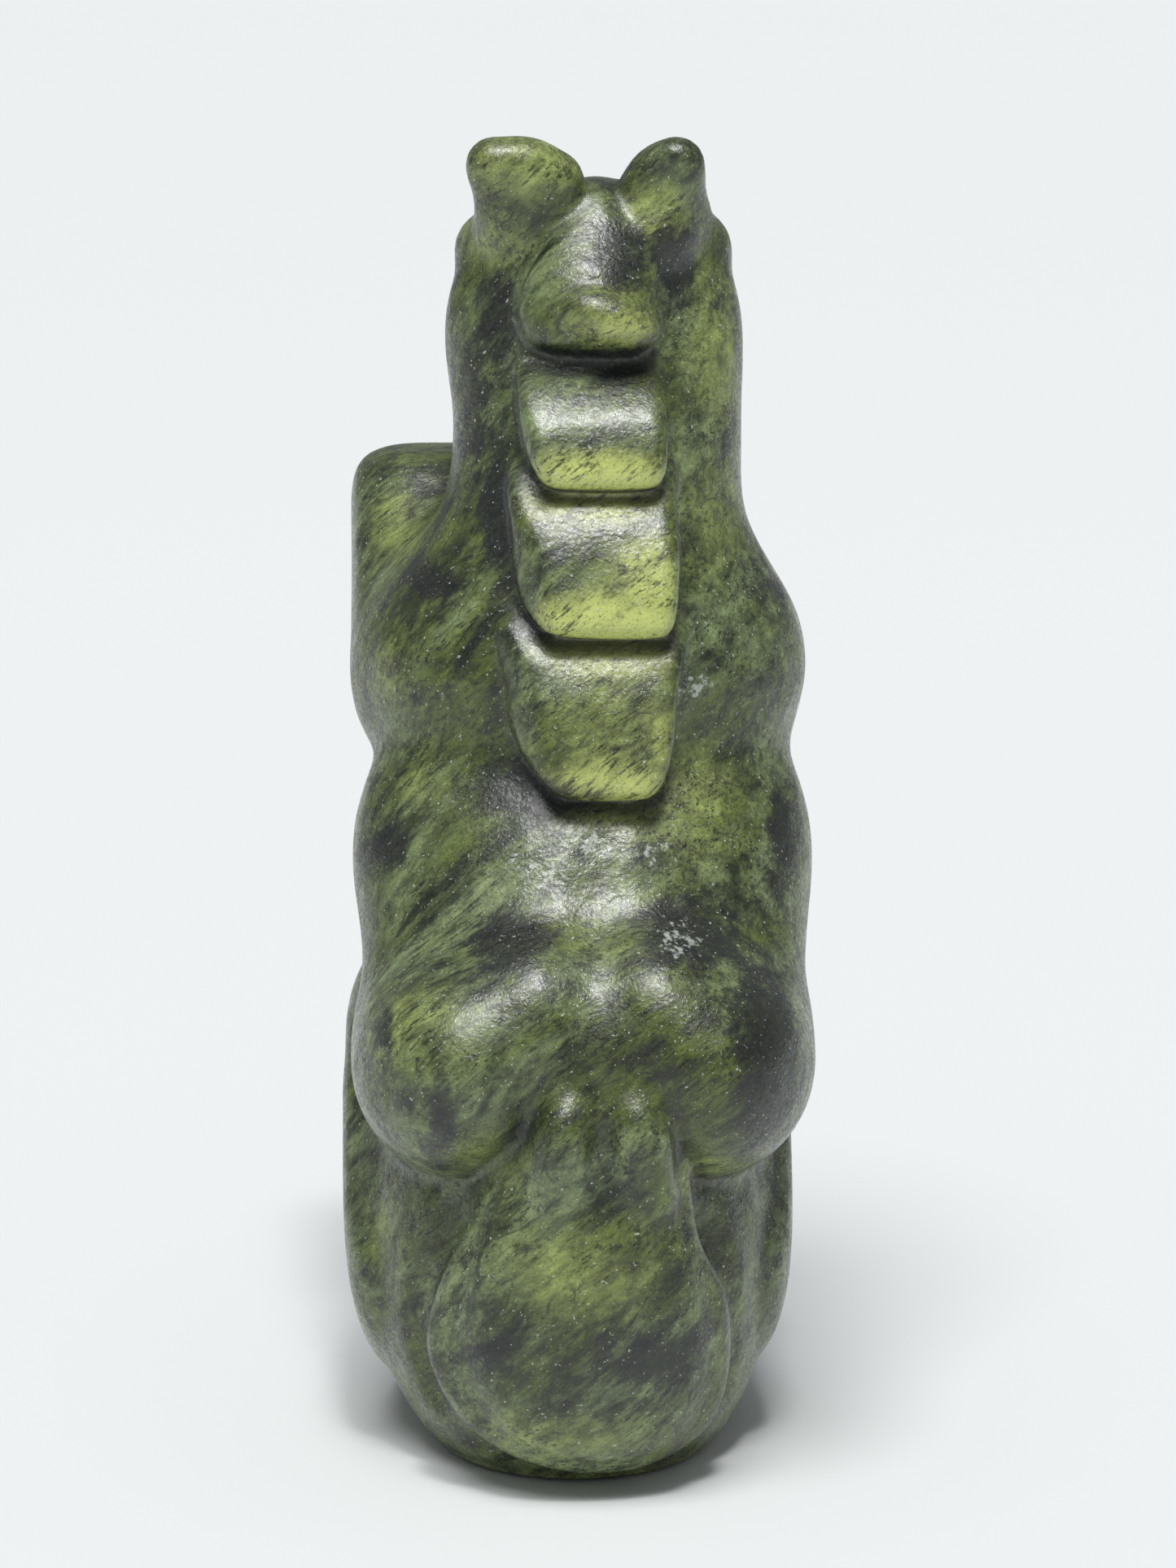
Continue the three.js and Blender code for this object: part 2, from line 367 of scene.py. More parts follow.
def carve_tail(stone):
    """The dock, and hair in two layers that fan out and settle on the rock."""
    fan = seen_from_behind(
        [
            (-3.6, 25.6), (-5.6, 21.4), (-7.6, 17.1), (-9.0, 13.4), (-9.8, 10.1), (-9.5, 8),
            (-8.2, 5.4), (-5.6, 3), (-1.5, 1.6), (3, 1.5), (6.6, 3), (8.2, 5.2), (8.7, 8.6),
            (8.3, 12.5), (6.7, 16), (5.8, 21.4), (4.6, 25.6),
        ],
        -24,
        -4,
    )
    hair = limb(
        [
            (at(0.6, -9.4, 25), 8.4, 6.2),
            (at(0.3, -9, 18), 10, 8.6),
            (at(-0.4, -8.4, 10), 12, 10.4),
            (at(-0.3, -6.2, 3.4), 11, 9.8),
        ],
        steps=14,
    )
    stone.add(both(fan, hair, 0.7), 0.5)
    panel = seen_from_behind(
        [
            (-3.4, 22.6), (-5.2, 19.4), (-6.2, 16.4), (-6.9, 13.2), (-6.9, 10.6), (-6.3, 8),
            (-5, 5), (-2, 3.2), (1.8, 2.7), (4.9, 3.6), (6.4, 6.6), (6.9, 10), (6.5, 13.1),
            (5.7, 16), (5.1, 18.6), (4.6, 21.4), (3.2, 23.8), (0.6, 24.6),
        ],
        -24,
        -8,
    )
    stone.raise_patch(panel, 0.7, 1.1)
    for side in SIDES:
        stone.add(
            limb(
                [
                    (at(0.8 + side * 1.7, -15.6, 25.4), 1.5, 1.5),
                    (at(0.8 + side * 2.3, -17.3, 22.8), 1.7, 1.7),
                    (at(0.8 + side * 2.9, -17.5, 19.2), 1.3, 1),
                ]
            ),
            1.1,
        )
    # The creases between the hair and the rock.
    left_crease = [
        at(-8.3, -14, 17),
        at(-10.2, -13.4, 13.2),
        at(-10.9, -13, 9.4),
        at(-9.7, -12.8, 5),
    ]
    right_crease = [
        at(7.4, -14, 16.6),
        at(9.2, -13.4, 12.6),
        at(9.8, -13, 8.6),
        at(9.1, -12.6, 5),
    ]
    for crease, radius in ((left_crease, 1.5), (right_crease, 1.2)):
        stone.cut(limb([(point, radius, radius) for point in crease]), 0.8)


def carve_leg_details(stone):
    """The folded hind legs in low relief on the sides, and a groove round the top of each fore hoof."""
    across = 40  # reaches past both sides of the stone
    folded = limb(
        [
            (at(0, 5.6, 25.4), across, 4.2),
            (at(0, 5, 20), across, 4.4),
            (at(0, -1.4, 14.6), across, 3.2),
            (at(0, -6.4, 10.6), across, 2.6),
            (at(0, -1.6, 6), across, 2.1),
            (at(0, 4.6, 4), across, 2.6),
        ]
    )
    stone.raise_patch(folded, 0.45, 1.2)
    stone.engrave(egg(at(-8.5, 19.8, 43.4), (4, 4, 3.3)), 0.4, 0.2)
    stone.engrave(egg(at(8.7, 20.6, 36.6), (4, 4, 3.3)), 0.4, 0.2)


def carve_forelegs(stone):
    """The left foreleg is raised beside the neck, and the right one is carried lower."""
    raised = limb(
        [
            (at(-8.6, 9, 45.4), 6, 5.6),
            (at(-8.8, 14.4, 50.6), 6.2, 5.6),
            (at(-9, 18.8, 54.6), 6.4, 5.6),
        ]
    )
    block = seen_from_behind(
        [
            (-14.1, 44), (-14.1, 52), (-14, 57.4), (-12.6, 58.8), (-8, 58.9), (-3, 58.9), (-3, 50),
            (-3, 40), (-9, 38), (-12.6, 39.6),
        ],
        2,
        26,
    )
    stone.add(both(raised, block, 1.2), 2)
    stone.add(
        limb(
            [
                (at(-8.9, 20.6, 53.4), 4.2, 3.8),
                (at(-8.7, 21.6, 48.6), 3.2, 3),
                (at(-8.5, 19.8, 44.4), 3.3, 3.1),
            ]
        ),
        1.2,
    )
    stone.add(
        limb(
            [
                (at(8.6, 8.6, 43.6), 5, 5.4),
                (at(8.9, 14.6, 45.6), 4.9, 4.9),
                (at(9.1, 20.2, 46.2), 4.4, 4.3),
                (at(8.9, 22.2, 41.6), 3.3, 3.2),
                (at(8.7, 20.4, 37.4), 3.4, 3.1),
            ]
        ),
        2,
    )


def carve_neck(stone):
    stone.add(
        limb(
            [
                (at(0.5, 5.4, 47.6), 12.2, 9.2),
                (at(1.1, 6.4, 55.6), 9.5, 8.6),
                (at(1.4, 7.6, 62), 9, 7.8),
                (at(1.2, 8.8, 68), 9.3, 6.6),
                (at(1.3, 9.4, 72.4), 7.8, 4.6),
            ]
        ),
        3.2,
    )


def carve_head(stone):
    stone.add(egg(at(1.4, 11.6, 70.2), (8, 5.4, 5.2), pitch=-30), 1.6)
    for side in SIDES:
        stone.add(egg(at(1.3 + side * 4.5, 13.4, 65.8), (4.6, 5.4, 6), pitch=-30), 1.2)
        stone.add(egg(at(1.2 + side * 5.5, 9.4, 72.6), (3.1, 3.2, 2.6)), 0.9)
        stone.add(egg(at(1.4 + side * 4.8, 14.6, 71.6), (2.6, 2.6, 1.6), roll=side * 12), 0.9)
    stone.add(
        limb(
            [
                (at(1.4, 14, 69.4), 6, 4.8),
                (at(1.4, 17.2, 65), 5.2, 4.6),
                (at(1.4, 19.4, 61), 4.7, 4.3),
                (at(1.4, 20.2, 58), 4.9, 4.2),
            ]
        ),
        1.6,
    )


def carve_ears(stone):
    """The left ear lies out to the side and the right one stands up."""
    stone.add(
        limb(
            [
                (at(-1.3, 5.6, 77.2), 1.7, 1.7),
                (at(-3, 5.2, 78), 1.8, 1.8),
                (at(-5, 5, 78.1), 1.75, 1.75),
            ]
        ),
        0.6,
    )
    stone.add(egg(at(-3.1, 6.3, 75.4), (3.1, 2.7, 3)), 1.8)
    stone.add(
        limb(
            [
                (at(4.9, 7, 75), 3, 2.5),
                (at(5.5, 6, 77), 2.5, 2.3),
                (at(6.1, 5.4, 78.1), 1.8, 1.7),
            ]
        ),
        0.8,
    )
    stone.add(egg(at(5.6, 7.6, 74.4), (2.8, 2.6, 3.2)), 1)
    # The right ear is hollowed above a swelling at its root.
    stone.add(egg(at(4.8, 5.4, 73.6), (2.4, 2, 2.6)), 1)
    stone.cut(egg(at(5.2, 1.7, 77.2), (1.9, 2.6, 2.8)), 0.6)


def carve_mane(stone):
    """A crest with four thick locks, each hanging out over the next."""
    stone.add(
        limb(
            [
                (at(0.9, -1.4, 44), 4.6, 3.2),
                (at(0.9, 0.2, 52), 4.5, 3.2),
                (at(0.9, 2.6, 60), 4.2, 3.2),
                (at(0.9, 4.6, 68), 4.0, 3.0),
                (at(1.4, 7.4, 75), 1.6, 2),
            ]
        ),
        0.6,
    )
    # Each lock's outline, profile, and a point and direction of its slanting left side.
    locks = [
        (
            [
                (-4.4, 52), (-4.5, 47), (-3.9, 44.2), (-2.2, 41.8), (-0.4, 40.8), (3.2, 40.8),
                (4.6, 41.7), (5.4, 44), (5.7, 47), (5.7, 52),
            ],
            [
                (-1.6, 52.6), (-4.6, 50.4), (-6.7, 47.4), (-7.9, 44), (-8.2, 42.4), (-8.1, 41.4),
                (-7.3, 40.8), (-5.4, 41.2), (-2, 43.4), (3, 45), (3, 51),
            ],
            at(-1.8, -8.1, 45),
            (-0.72, -0.69, 0.1),
        ),
        (
            [
                (-3.6, 61), (-4.1, 56), (-3.7, 53), (-2.2, 51), (0.4, 50.4), (4.2, 50.3),
                (5.5, 51.3), (5.9, 54.4), (5.8, 58), (5.2, 61),
            ],
            [
                (0.6, 61.2), (-2.2, 59.2), (-4.6, 56.4), (-6, 53.6), (-6.4, 52), (-6.3, 51),
                (-5.5, 50.3), (-4, 50.8), (-0.6, 53), (4.4, 55), (4.4, 60),
            ],
            at(-1.9, -6.3, 53),
            (-0.75, -0.66, 0.1),
        ),
        (
            [
                (-3.4, 69), (-3.7, 65), (-3.4, 62), (-2.4, 59.8), (-0.8, 59), (3.8, 59),
                (5.1, 60.2), (5.3, 63), (5.1, 66), (4.6, 69),
            ],
            [
                (4.4, 68.4), (2, 66.8), (-0.8, 65.2), (-2.8, 63.2), (-3.8, 61), (-3.8, 59.6),
                (-3, 59), (-1.6, 59.3), (1.8, 61.6), (6, 63), (6, 68),
            ],
            at(-2.6, -3.8, 62),
            (-0.84, -0.54, 0),
        ),
    ]
    for from_behind, from_side, point, out in locks:
        outline = seen_from_behind(from_behind, -10, 12)
        profile = seen_from_side(from_side, -6, 8)
        lock = both(outline, profile, 0.9)
        stone.add(both(lock, flat(point, out), 0.5), 0.5)
    carve_top_lock(stone)


def carve_top_lock(stone):
    """The lock between the ears swells out, and ends in a blunt nose that tilts to the right."""
    outline = seen_from_behind(
        [
            (1.2, 76.8), (0, 76), (-1.6, 74.2), (-2.9, 72.2), (-3.7, 70), (-3.5, 68.2),
            (-2.2, 67.3), (1, 67.1), (3.6, 67.3), (4.8, 68.4), (5, 71), (4.4, 73.2), (3.4, 75),
            (2.4, 76.3),
        ],
        -10,
        12,
    )
    swell = limb(
        [
            (at(1.3, 7.4, 76), 3, 2.4),
            (at(0.9, 5.6, 72), 5, 3.6),
            (at(0.7, 4.4, 68.8), 5.4, 4.9),
        ]
    )
    stone.add(both(outline, swell, 1), 0.9)
    stone.add(egg(at(1.9, 0.5, 69.1), (3.2, 1.9, 1.7), roll=-18), 0.7)


def carve_face(stone):
    """Eyes, nostrils, mouth and the line of each jaw."""
    for side in SIDES:
        stone.cut(egg(at(1.4 + side * 5.6, 17.2, 69), (1.5, 1.8, 1.2), roll=side * 20), 0.7)
        stone.add(egg(at(1.4 + side * 4.9, 16.2, 68.9), (1.1, 1.3, 0.7), roll=side * 20), 0.3)
        stone.cut(egg(at(1.4 + side * 2.6, 24.2, 58.6), (0.8, 1.0, 1.1), roll=side * 30), 0.5)
    stone.cut(
        limb(
            [
                (at(-3.8, 19, 57.2), 0.3, 0.3),
                (at(-1.6, 22.6, 55.8), 0.4, 0.4),
                (at(1.4, 23.9, 55.5), 0.4, 0.4),
                (at(4.4, 22.6, 55.8), 0.4, 0.4),
                (at(6.6, 19, 57.2), 0.3, 0.3),
            ]
        ),
        0.4,
    )


def carve():
    """The whole carving as a distance field, standing on its flat foot."""
    extent = [np.array(corner) / MM for corner in cad_box]
    rock = Stone(*extent)
    carve_rock(rock)
    rock.soften(SOFTENING)
    stone = Stone(*extent)
    carve_trunk(stone)
    carve_spine(stone)
    carve_hind_legs(stone)
    carve_forelegs(stone)
    carve_neck(stone)
    stone.soften(SOFTENING)
    stone.join(rock, 0.8)
    carve_leg_details(stone)
    carve_tail(stone)
    carve_head(stone)
    carve_ears(stone)
    carve_mane(stone)
    carve_face(stone)
    z = stone.low[2] + VOXEL * np.arange(stone.count[2])
    stone.values = soft_most(stone.values, -z[None, None, :].astype(np.float32), 0.4)
    return stone


# ---- Surface -----------------------------------------------------------------------------------


def read_field(values, low, points):
    """The grid's value between its points."""
    place = np.clip((points - low) / VOXEL, 0, np.array(values.shape) - 1.001)
    base = place.astype(int)
    part = place - base
    total = 0
    for corner in itertools.product((0, 1), repeat=3):
        weight = np.prod(np.where(corner, part, 1 - part), axis=1)
        i, j, k = (base + corner).T
        total = total + weight * values[i, j, k]
    return total


def net_cells(values):
    """The cells that the surface passes through, and a number for each in a grid."""
    inside = values < 0
    corners = [
        inside[i : inside.shape[0] - 1 + i, j : inside.shape[1] - 1 + j, k : inside.shape[2] - 1 + k]
        for i, j, k in itertools.product((0, 1), repeat=3)
    ]
    crossed = np.any(corners, axis=0) & ~np.all(corners, axis=0)
    number = np.full(crossed.shape, -1)
    number[crossed] = np.arange(crossed.sum())
    return np.argwhere(crossed), number, inside


def net_points(values, cells):
    """One point in each crossed cell: the mean of where the surface crosses its edges."""
    total = np.zeros(cells.shape)
    hits = np.zeros(len(cells))
    for axis in range(3):
        for near in itertools.product((0, 1), repeat=3):
            if near[axis]:
                continue
            far = np.array(near) + np.eye(3, dtype=int)[axis]
            a = values[tuple((cells + near).T)]
            b = values[tuple((cells + far).T)]
            crosses = (a < 0) != (b < 0)
            t = np.where(crosses, a / np.where(crosses, a - b, 1), 0)
            point = np.array(near) + t[:, None] * np.eye(3)[axis]
            total += point * crosses[:, None]
            hits += crosses
    return cells + total / hits[:, None]


def net_faces(number, inside):
    """A four-sided face round every grid edge that the surface crosses, facing outwards."""
    faces = []
    for axis in range(3):
        u, v = (axis + 1) % 3, (axis + 2) % 3
        a = np.moveaxis(inside, (axis, u, v), (0, 1, 2))
        n = np.moveaxis(number, (axis, u, v), (0, 1, 2))
        start, stop = a[:-1, 1:-1, 1:-1], a[1:, 1:-1, 1:-1]
        i, j, k = np.nonzero(start != stop)
        ring = np.stack([n[i, j, k], n[i, j + 1, k], n[i, j + 1, k + 1], n[i, j, k + 1]], axis=1)
        leaves = start[i, j, k]
        faces.append(np.where(leaves[:, None], ring, ring[:, ::-1]))
    return np.vstack(faces)


def slope(stone):
    """The field's direction of steepest rise, as three grids."""
    return np.gradient(stone.values, VOXEL)


def settle(stone, points, rise):
    """Moves points onto the surface, and gives the outward direction at each."""
    for _ in range(3):
        normal = np.stack([read_field(g, stone.low, points) for g in rise], axis=1)
        length = np.linalg.norm(normal, axis=1, keepdims=True) + 1e-6
        height = read_field(stone.values, stone.low, points)[:, None]
        points = points - np.clip(height / length, -0.5, 0.5) * normal / length
    return points, normal / length


def thinness(stone, points, normal):
    """0 over thick stone, towards 1 where a way in and a little down soon comes out again."""
    way = normal + (0, 0, 0.8)
    way /= np.linalg.norm(way, axis=1, keepdims=True) + 0.1
    depths = (1, 2, 3, 4)  # millimetres
    heights = [read_field(stone.values, stone.low, points - way * depth) for depth in depths]
    return np.mean([np.clip(0.5 + height, 0, 1) for height in heights], axis=0)


def hollowness(stone, points, normal, reach):
    """0 in the open, towards 1 in creases narrower than reach."""
    above = read_field(stone.values, stone.low, points + normal * reach)
    return np.clip(1 - above / reach, 0, 1)


def store(mesh, name, values):
    layer = mesh.attributes.new(name, "FLOAT", "POINT")
    layer.data.foreach_set("value", np.ascontiguousarray(values, np.float32))


def stone_mesh(stone):
    cells, number, inside = net_cells(stone.values)
    points = stone.low + VOXEL * net_points(stone.values, cells)
    points, normal = settle(stone, points, slope(stone))
    faces = net_faces(number, inside)
    mesh = bpy.data.meshes.new("jade_horse")
    mesh.vertices.add(len(points))
    mesh.vertices.foreach_set("co", (points * MM).astype(np.float32).ravel())
    mesh.loops.add(faces.size)
    mesh.loops.foreach_set("vertex_index", faces.astype(np.int32).ravel())
    mesh.polygons.add(len(faces))
    mesh.polygons.foreach_set("loop_start", np.arange(0, faces.size, 4, dtype=np.int32))
    mesh.update(calc_edges=True)
    mesh.validate()
    mesh.shade_smooth()
    # Painted glow: the colour brightens where the stone is thin and at the listed lips, standing in for
    # light coming through.
    glow_spots = patches(points, painted_lip_glow())
    store(mesh, "thin", np.maximum(thinness(stone, points, normal), glow_spots))
    # Crease depth: it darkens the colour there as painted shade, and dulls the polish.
    creases = [hollowness(stone, points, normal, reach) for reach in (0.8, 2.4)]
    store(mesh, "hollow", np.mean(creases, axis=0))
    store(mesh, "cloud_and_shade", patches(points, dark_clouds_and_shade()))
    store(mesh, "drift_and_highlight", patches(points, pale_drifts_and_highlight()))
    store(mesh, "chip_and_highlight", patches(points, chips_and_highlight()))
    return mesh


# ---- The jade's colour -------------------------------------------------------------------------


def patches(points, spots):
    """How strongly each point lies in soft spots of (middle, reach across, along and up, strength)."""
    total = np.zeros(len(points))
    for middle, reach, strength in spots:
        away = np.sqrt((((points - middle) / reach) ** 2).sum(1))
        total = np.maximum(total, strength * np.clip(1.4 - away, 0, 1))
    return total


def dark_clouds_and_shade():
    return [
        (at(-3, -6, 41.2), (4.6, 4, 1.4), 1.0),
        (at(-4.6, -12, 33.4), (3, 5, 1.6), 0.8),
        (at(6.6, -12, 34), (4, 5, 1.9), 1.0),
        (at(10.6, -14, 27), (2.4, 6, 6.6), 0.95),
        (at(4.4, -16, 27.4), (3, 5, 2.6), 0.5),
        (at(-8.6, -16, 24.4), (0.9, 5, 3.6), 0.75),
        (at(-12, -12, 28.6), (0.8, 5, 2), 0.6),
        (at(-11.6, -4, 37.4), (1.8, 5, 1.6), 0.75),
        (at(-13, -2, 42), (1.2, 5, 2), 0.6),
        (at(12.4, -2, 37.4), (1.5, 5, 3.6), 0.75),
        (at(12.6, 2, 52.4), (1.6, 5, 1.4), 0.7),
        (at(3.4, -18, 9.6), (4.4, 4, 2.2), 0.85),
        (at(-5.8, -18, 10), (2.2, 4, 2.6), 0.55),
        (at(-3.9, -17, 16.6), (1.2, 3, 0.5), 0.55),
        (at(1.6, -18, 16), (0.6, 3, 0.9), 0.5),
        # Painted shade: the next three darken the groove beside the left of the mane and the left of
        # the neck.
        (at(-4.9, 1, 57), (1.3, 4, 4.4), 0.9),
        (at(-5.2, 2, 69), (1.4, 4, 3.4), 0.9),
        (at(-6.4, 4, 62), (2.4, 4, 7), 0.55),
        (at(2.6, 3, 73), (2, 4, 2.4), 0.75),
        # Painted shade: the next two darken the lock under the top lock and the groove on the top
        # lock's right.
        (at(1, 0, 66.4), (4, 3, 1.1), 0.6),
        (at(6, 4, 72.4), (1.5, 4, 3), 0.9),
        (at(-9, 2, 53), (2.2, 5, 1.4), 0.75),
        (at(-7, 2, 48.6), (1.4, 5, 1.4), 0.6),
    ]


def painted_lip_glow():
    """Painted glow: where the colour is brightened as if light came through the thin lower edges of the
    mane's locks and the ears.
    """
    return [
        (at(2.4, -1, 68.7), (2.8, 2.5, 1.2), 0.55),
        (at(0.9, -4, 59.6), (5.4, 2.5, 2.2), 1.0),
        (at(1.6, -6.4, 51), (5.2, 2.5, 2.6), 1.0),
        (at(3.8, -5.6, 54), (2.4, 3, 3.4), 0.65),
        (at(1.4, -8, 41.4), (5, 2.5, 2.2), 0.8),
        (at(4.6, -7, 44.6), (1.2, 3, 3.4), 0.4),
        (at(-5, 4, 78.4), (2.2, 3, 2), 0.25),
    ]


def pale_drifts_and_highlight():
    return [
        (at(-3.4, 5, 78), (3.6, 4, 2.2), 0.9),
        # Painted highlight on the right ear.
        (at(4.6, 5, 75.4), (2, 3.6, 2.2), 0.9),
        (at(-4.6, 6, 73.4), (2.4, 4, 2.2), 0.7),
        (at(8.4, 4, 67), (1.9, 5, 5.6), 0.65),
        (at(7.6, 3, 56), (2.4, 5, 6), 0.4),
        (at(1.6, 1, 69.2), (3, 3, 1.9), 0.8),
        (at(2.8, -6, 52.4), (2.8, 3, 2.6), 0.9),
        (at(1.6, -7, 45), (4.4, 4, 3.6), 0.6),
        (at(6.4, -6, 40.4), (4, 6, 3.4), 0.6),
        (at(1, -12, 34.6), (4, 6, 2), 0.4),
        (at(-11.4, 10, 55), (1.9, 8, 2), 0.6),
        (at(-11.6, 6, 47), (1.6, 8, 2.4), 0.6),
        (at(-9.6, -4, 41), (3, 5, 1.6), 0.4),
        (at(-9.6, -14, 28.6), (3.4, 5, 2.6), 0.5),
        (at(-6.4, -17, 21.4), (2.6, 5, 2.4), 0.5),
        (at(7.4, -16, 20), (2, 5, 1.4), 0.8),
        (at(-0.6, -18, 15), (5, 4, 3), 0.6),
        (at(-2, -17, 4.6), (6, 4, 2), 0.6),
        (at(-11.6, -8, 14), (1.4, 6, 2.6), 0.5),
    ]


def chips_and_highlight():
    """Where the polish is broken, or a pale inclusion shows; the three pale patches on the back are
    painted highlight.
    """
    return [
        (at(6.8, -3, 47.2), (1.5, 4, 0.9), 1.1),
        (at(5.9, -14, 33.8), (1.9, 4, 1.1), 1.1),
        # Painted highlight: the next three are the pale patches on the back.
        (at(0.1, -9, 38.7), (1.4, 4, 1.1), 1.0),
        (at(-2.6, -9, 37), (2.6, 4, 1.4), 0.8),
        (at(4.4, -9, 38), (1.6, 4, 1.2), 0.8),
    ]


class Nodes:
    """A short way to add and join shader nodes."""

    def __init__(self, material):
        material.use_nodes = True
        self.tree = material.node_tree
        self.tree.nodes.clear()

    def put(self, socket, value):
        if isinstance(value, bpy.types.NodeSocket):
            self.tree.links.new(value, socket)
        else:
            socket.default_value = value

    def add(self, kind, settings=None, **inputs):
        node = self.tree.nodes.new(kind)
        for name, value in (settings or {}).items():
            setattr(node, name, value)
        for name, value in inputs.items():
            self.put(node.inputs[name.replace("_", " ")], value)
        return node

    def math(self, operation, a, b=0.0, c=0.0):
        node = self.tree.nodes.new("ShaderNodeMath")
        node.operation = operation
        for socket, value in zip(node.inputs, (a, b, c)):
            self.put(socket, value)
        return node.outputs[0]

    def mix(self, share, a, b, blend="MIX"):
        node = self.tree.nodes.new("ShaderNodeMix")
        node.data_type = "RGBA"
        node.blend_type = blend
        self.put(node.inputs["Factor"], share)
        colours = [s for s in node.inputs if s.type == "RGBA"]
        for socket, value in zip(colours, (a, b)):
            self.put(socket, value)
        return next(s for s in node.outputs if s.type == "RGBA")

    def ramp(self, value, low, high):
        """0 at low and 1 at high, smoothly."""
        node = self.tree.nodes.new("ShaderNodeMapRange")
        node.interpolation_type = "SMOOTHSTEP"
        for name, given in (("Value", value), ("From Min", low), ("From Max", high)):
            self.put(node.inputs[name], given)
        return node.outputs["Result"]

    def noise(self, place, size, detail=4.0, roughness=0.55, distortion=0.0):
        """Noise whose features are about size millimetres across."""
        node = self.add(
            "ShaderNodeTexNoise",
            Vector=place,
            Scale=1 / size,
            Detail=detail,
            Roughness=roughness,
            Distortion=distortion,
        )
        return node.outputs["Fac"]

    def stretched(self, place, turn, stretch):
        """The place stretched along a line that rises to the right by turn degrees, for streaks."""
        node = self.add("ShaderNodeMapping", {"vector_type": "TEXTURE"}, Vector=place)
        node.inputs["Rotation"].default_value = (0, -math.radians(turn), 0)
        node.inputs["Scale"].default_value = (stretch, 1, 1)
        return node.outputs["Vector"]

    def attribute(self, name):
        return self.add("ShaderNodeAttribute", {"attribute_name": name}).outputs["Fac"]


def srgb(red, green, blue):
    """A colour given as 0 to 255 on a screen, as the renderer's linear colour."""
    shares = [v / 255 for v in (red, green, blue)]
    return (*[s / 12.92 if s <= 0.04045 else ((s + 0.055) / 1.055) ** 2.4 for s in shares], 1)


OLIVE = srgb(80, 92, 36)
DEEP_OLIVE = srgb(34, 43, 18)
SAGE = srgb(108, 121, 82)
MOSS_AND_HIGHLIGHT = srgb(128, 140, 78)
PAINTED_GLOW = srgb(202, 211, 122)
CLOUD_AND_SHADE = srgb(14, 18, 22)
STREAK = srgb(16, 20, 12)
MILK_AND_HIGHLIGHT = srgb(214, 220, 210)


def jade_colour(n, place):
    """Olive and sage in broad drifts, painted glow where the stone is thin, dark clouds with painted
    shade in grooves and creases, fine slanting streaks, pale specks with painted glints, and painted
    highlights on the right ear and the back."""
    slant = n.stretched(place, 38, 2.6)
    colour = n.mix(n.ramp(n.noise(slant, 5, 7, 0.6, 0.3), 0.4, 0.6), OLIVE, SAGE)
    colour = n.mix(n.ramp(n.noise(slant, 2, 8, 0.72, 0.3), 0.44, 0.64), colour, DEEP_OLIVE)
    # Pale moss drifts in the stone; the patch on the right ear is a painted highlight.
    drift_and_highlight = n.math("MULTIPLY_ADD", n.noise(slant, 2.4, 7, 0.66, 0.3), 1.3, -0.65)
    drift_and_highlight = n.math("ADD", n.math("ADD", drift_and_highlight, n.attribute("drift_and_highlight")), 0.1)
    colour = n.mix(n.ramp(drift_and_highlight, 0.1, 0.9), colour, MOSS_AND_HIGHLIGHT)

    cloudy = n.math("MULTIPLY_ADD", n.noise(slant, 0.9, 8, 0.76, 0.2), 4.6, -1.28)
    colour = n.mix(1.0, colour, cloudy, "MULTIPLY")

    # Painted glow: thin edges are brightened towards the glow colour, as if lit through the stone.
    thin = n.attribute("thin")
    mottled = n.math("MULTIPLY_ADD", n.noise(place, 1.3, 7, 0.72), 0.8, -0.4)
    colour = n.mix(n.ramp(n.math("ADD", thin, mottled), 0.1, 0.95), colour, PAINTED_GLOW)

    # Dark clouds in the stone; the cloud patches also paint shade into the grooves beside the mane's
    # top locks and on the left of the neck.
    ragged = n.math("MULTIPLY_ADD", n.noise(slant, 1.6, 9, 0.75), 2.6, -1.3)
    cloud_and_shade = n.ramp(n.math("ADD", n.attribute("cloud_and_shade"), ragged), 0.12, 0.7)
    stray = n.ramp(n.noise(slant, 3, 9, 0.74, 0.2), 0.56, 0.69)
    dark = n.math("MAXIMUM", cloud_and_shade, n.math("MULTIPLY", stray, 0.85))
    colour = n.mix(n.math("MULTIPLY", dark, 0.88), colour, CLOUD_AND_SHADE)

    wander = n.math("ABSOLUTE", n.math("SUBTRACT", n.noise(slant, 3.4, 3, 0.5, 0.2), 0.5))
    shown = n.ramp(n.noise(place, 1.8, 3), 0.42, 0.6)
    vein = n.math("MULTIPLY", n.math("SUBTRACT", 1, n.ramp(wander, 0.002, 0.014)), shown)
    colour = n.mix(n.math("MULTIPLY", vein, 0.6), colour, STREAK)

    fine = n.stretched(place, 40, 7)
    streak = n.ramp(n.noise(fine, 0.28, 5, 0.78), 0.52, 0.6)
    where = n.ramp(n.noise(place, 3.4, 4), 0.36, 0.56)
    colour = n.mix(n.math("MULTIPLY", n.math("MULTIPLY", streak, where), 0.85), colour, STREAK)

    grain = n.ramp(n.noise(place, 0.16, 2, 0.7), 0.54, 0.7)
    colour = n.mix(n.math("MULTIPLY", grain, 0.5), colour, STREAK)
    # Pale specks of dust, with painted glints among them.
    dust_and_glint = n.ramp(n.noise(place, 0.22, 2, 0.5), 0.67, 0.74)
    colour = n.mix(n.math("MULTIPLY", dust_and_glint, 0.6), colour, MILK_AND_HIGHLIGHT)
    # Broken polish and pale inclusions, with painted highlight on the back.
    broken = n.math("MULTIPLY_ADD", n.noise(place, 0.55, 5, 0.72), 4, -2.3)
    chip_and_highlight = n.ramp(n.math("ADD", n.attribute("chip_and_highlight"), broken), 0.45, 0.9)
    colour = n.mix(n.math("MULTIPLY", chip_and_highlight, 0.55), colour, MILK_AND_HIGHLIGHT)
    # Painted shade: creases and hollows are darkened towards the dark colour.
    hollow = n.ramp(n.attribute("hollow"), 0.1, 0.8)
    return n.mix(n.math("MULTIPLY", hollow, 0.85), colour, CLOUD_AND_SHADE)


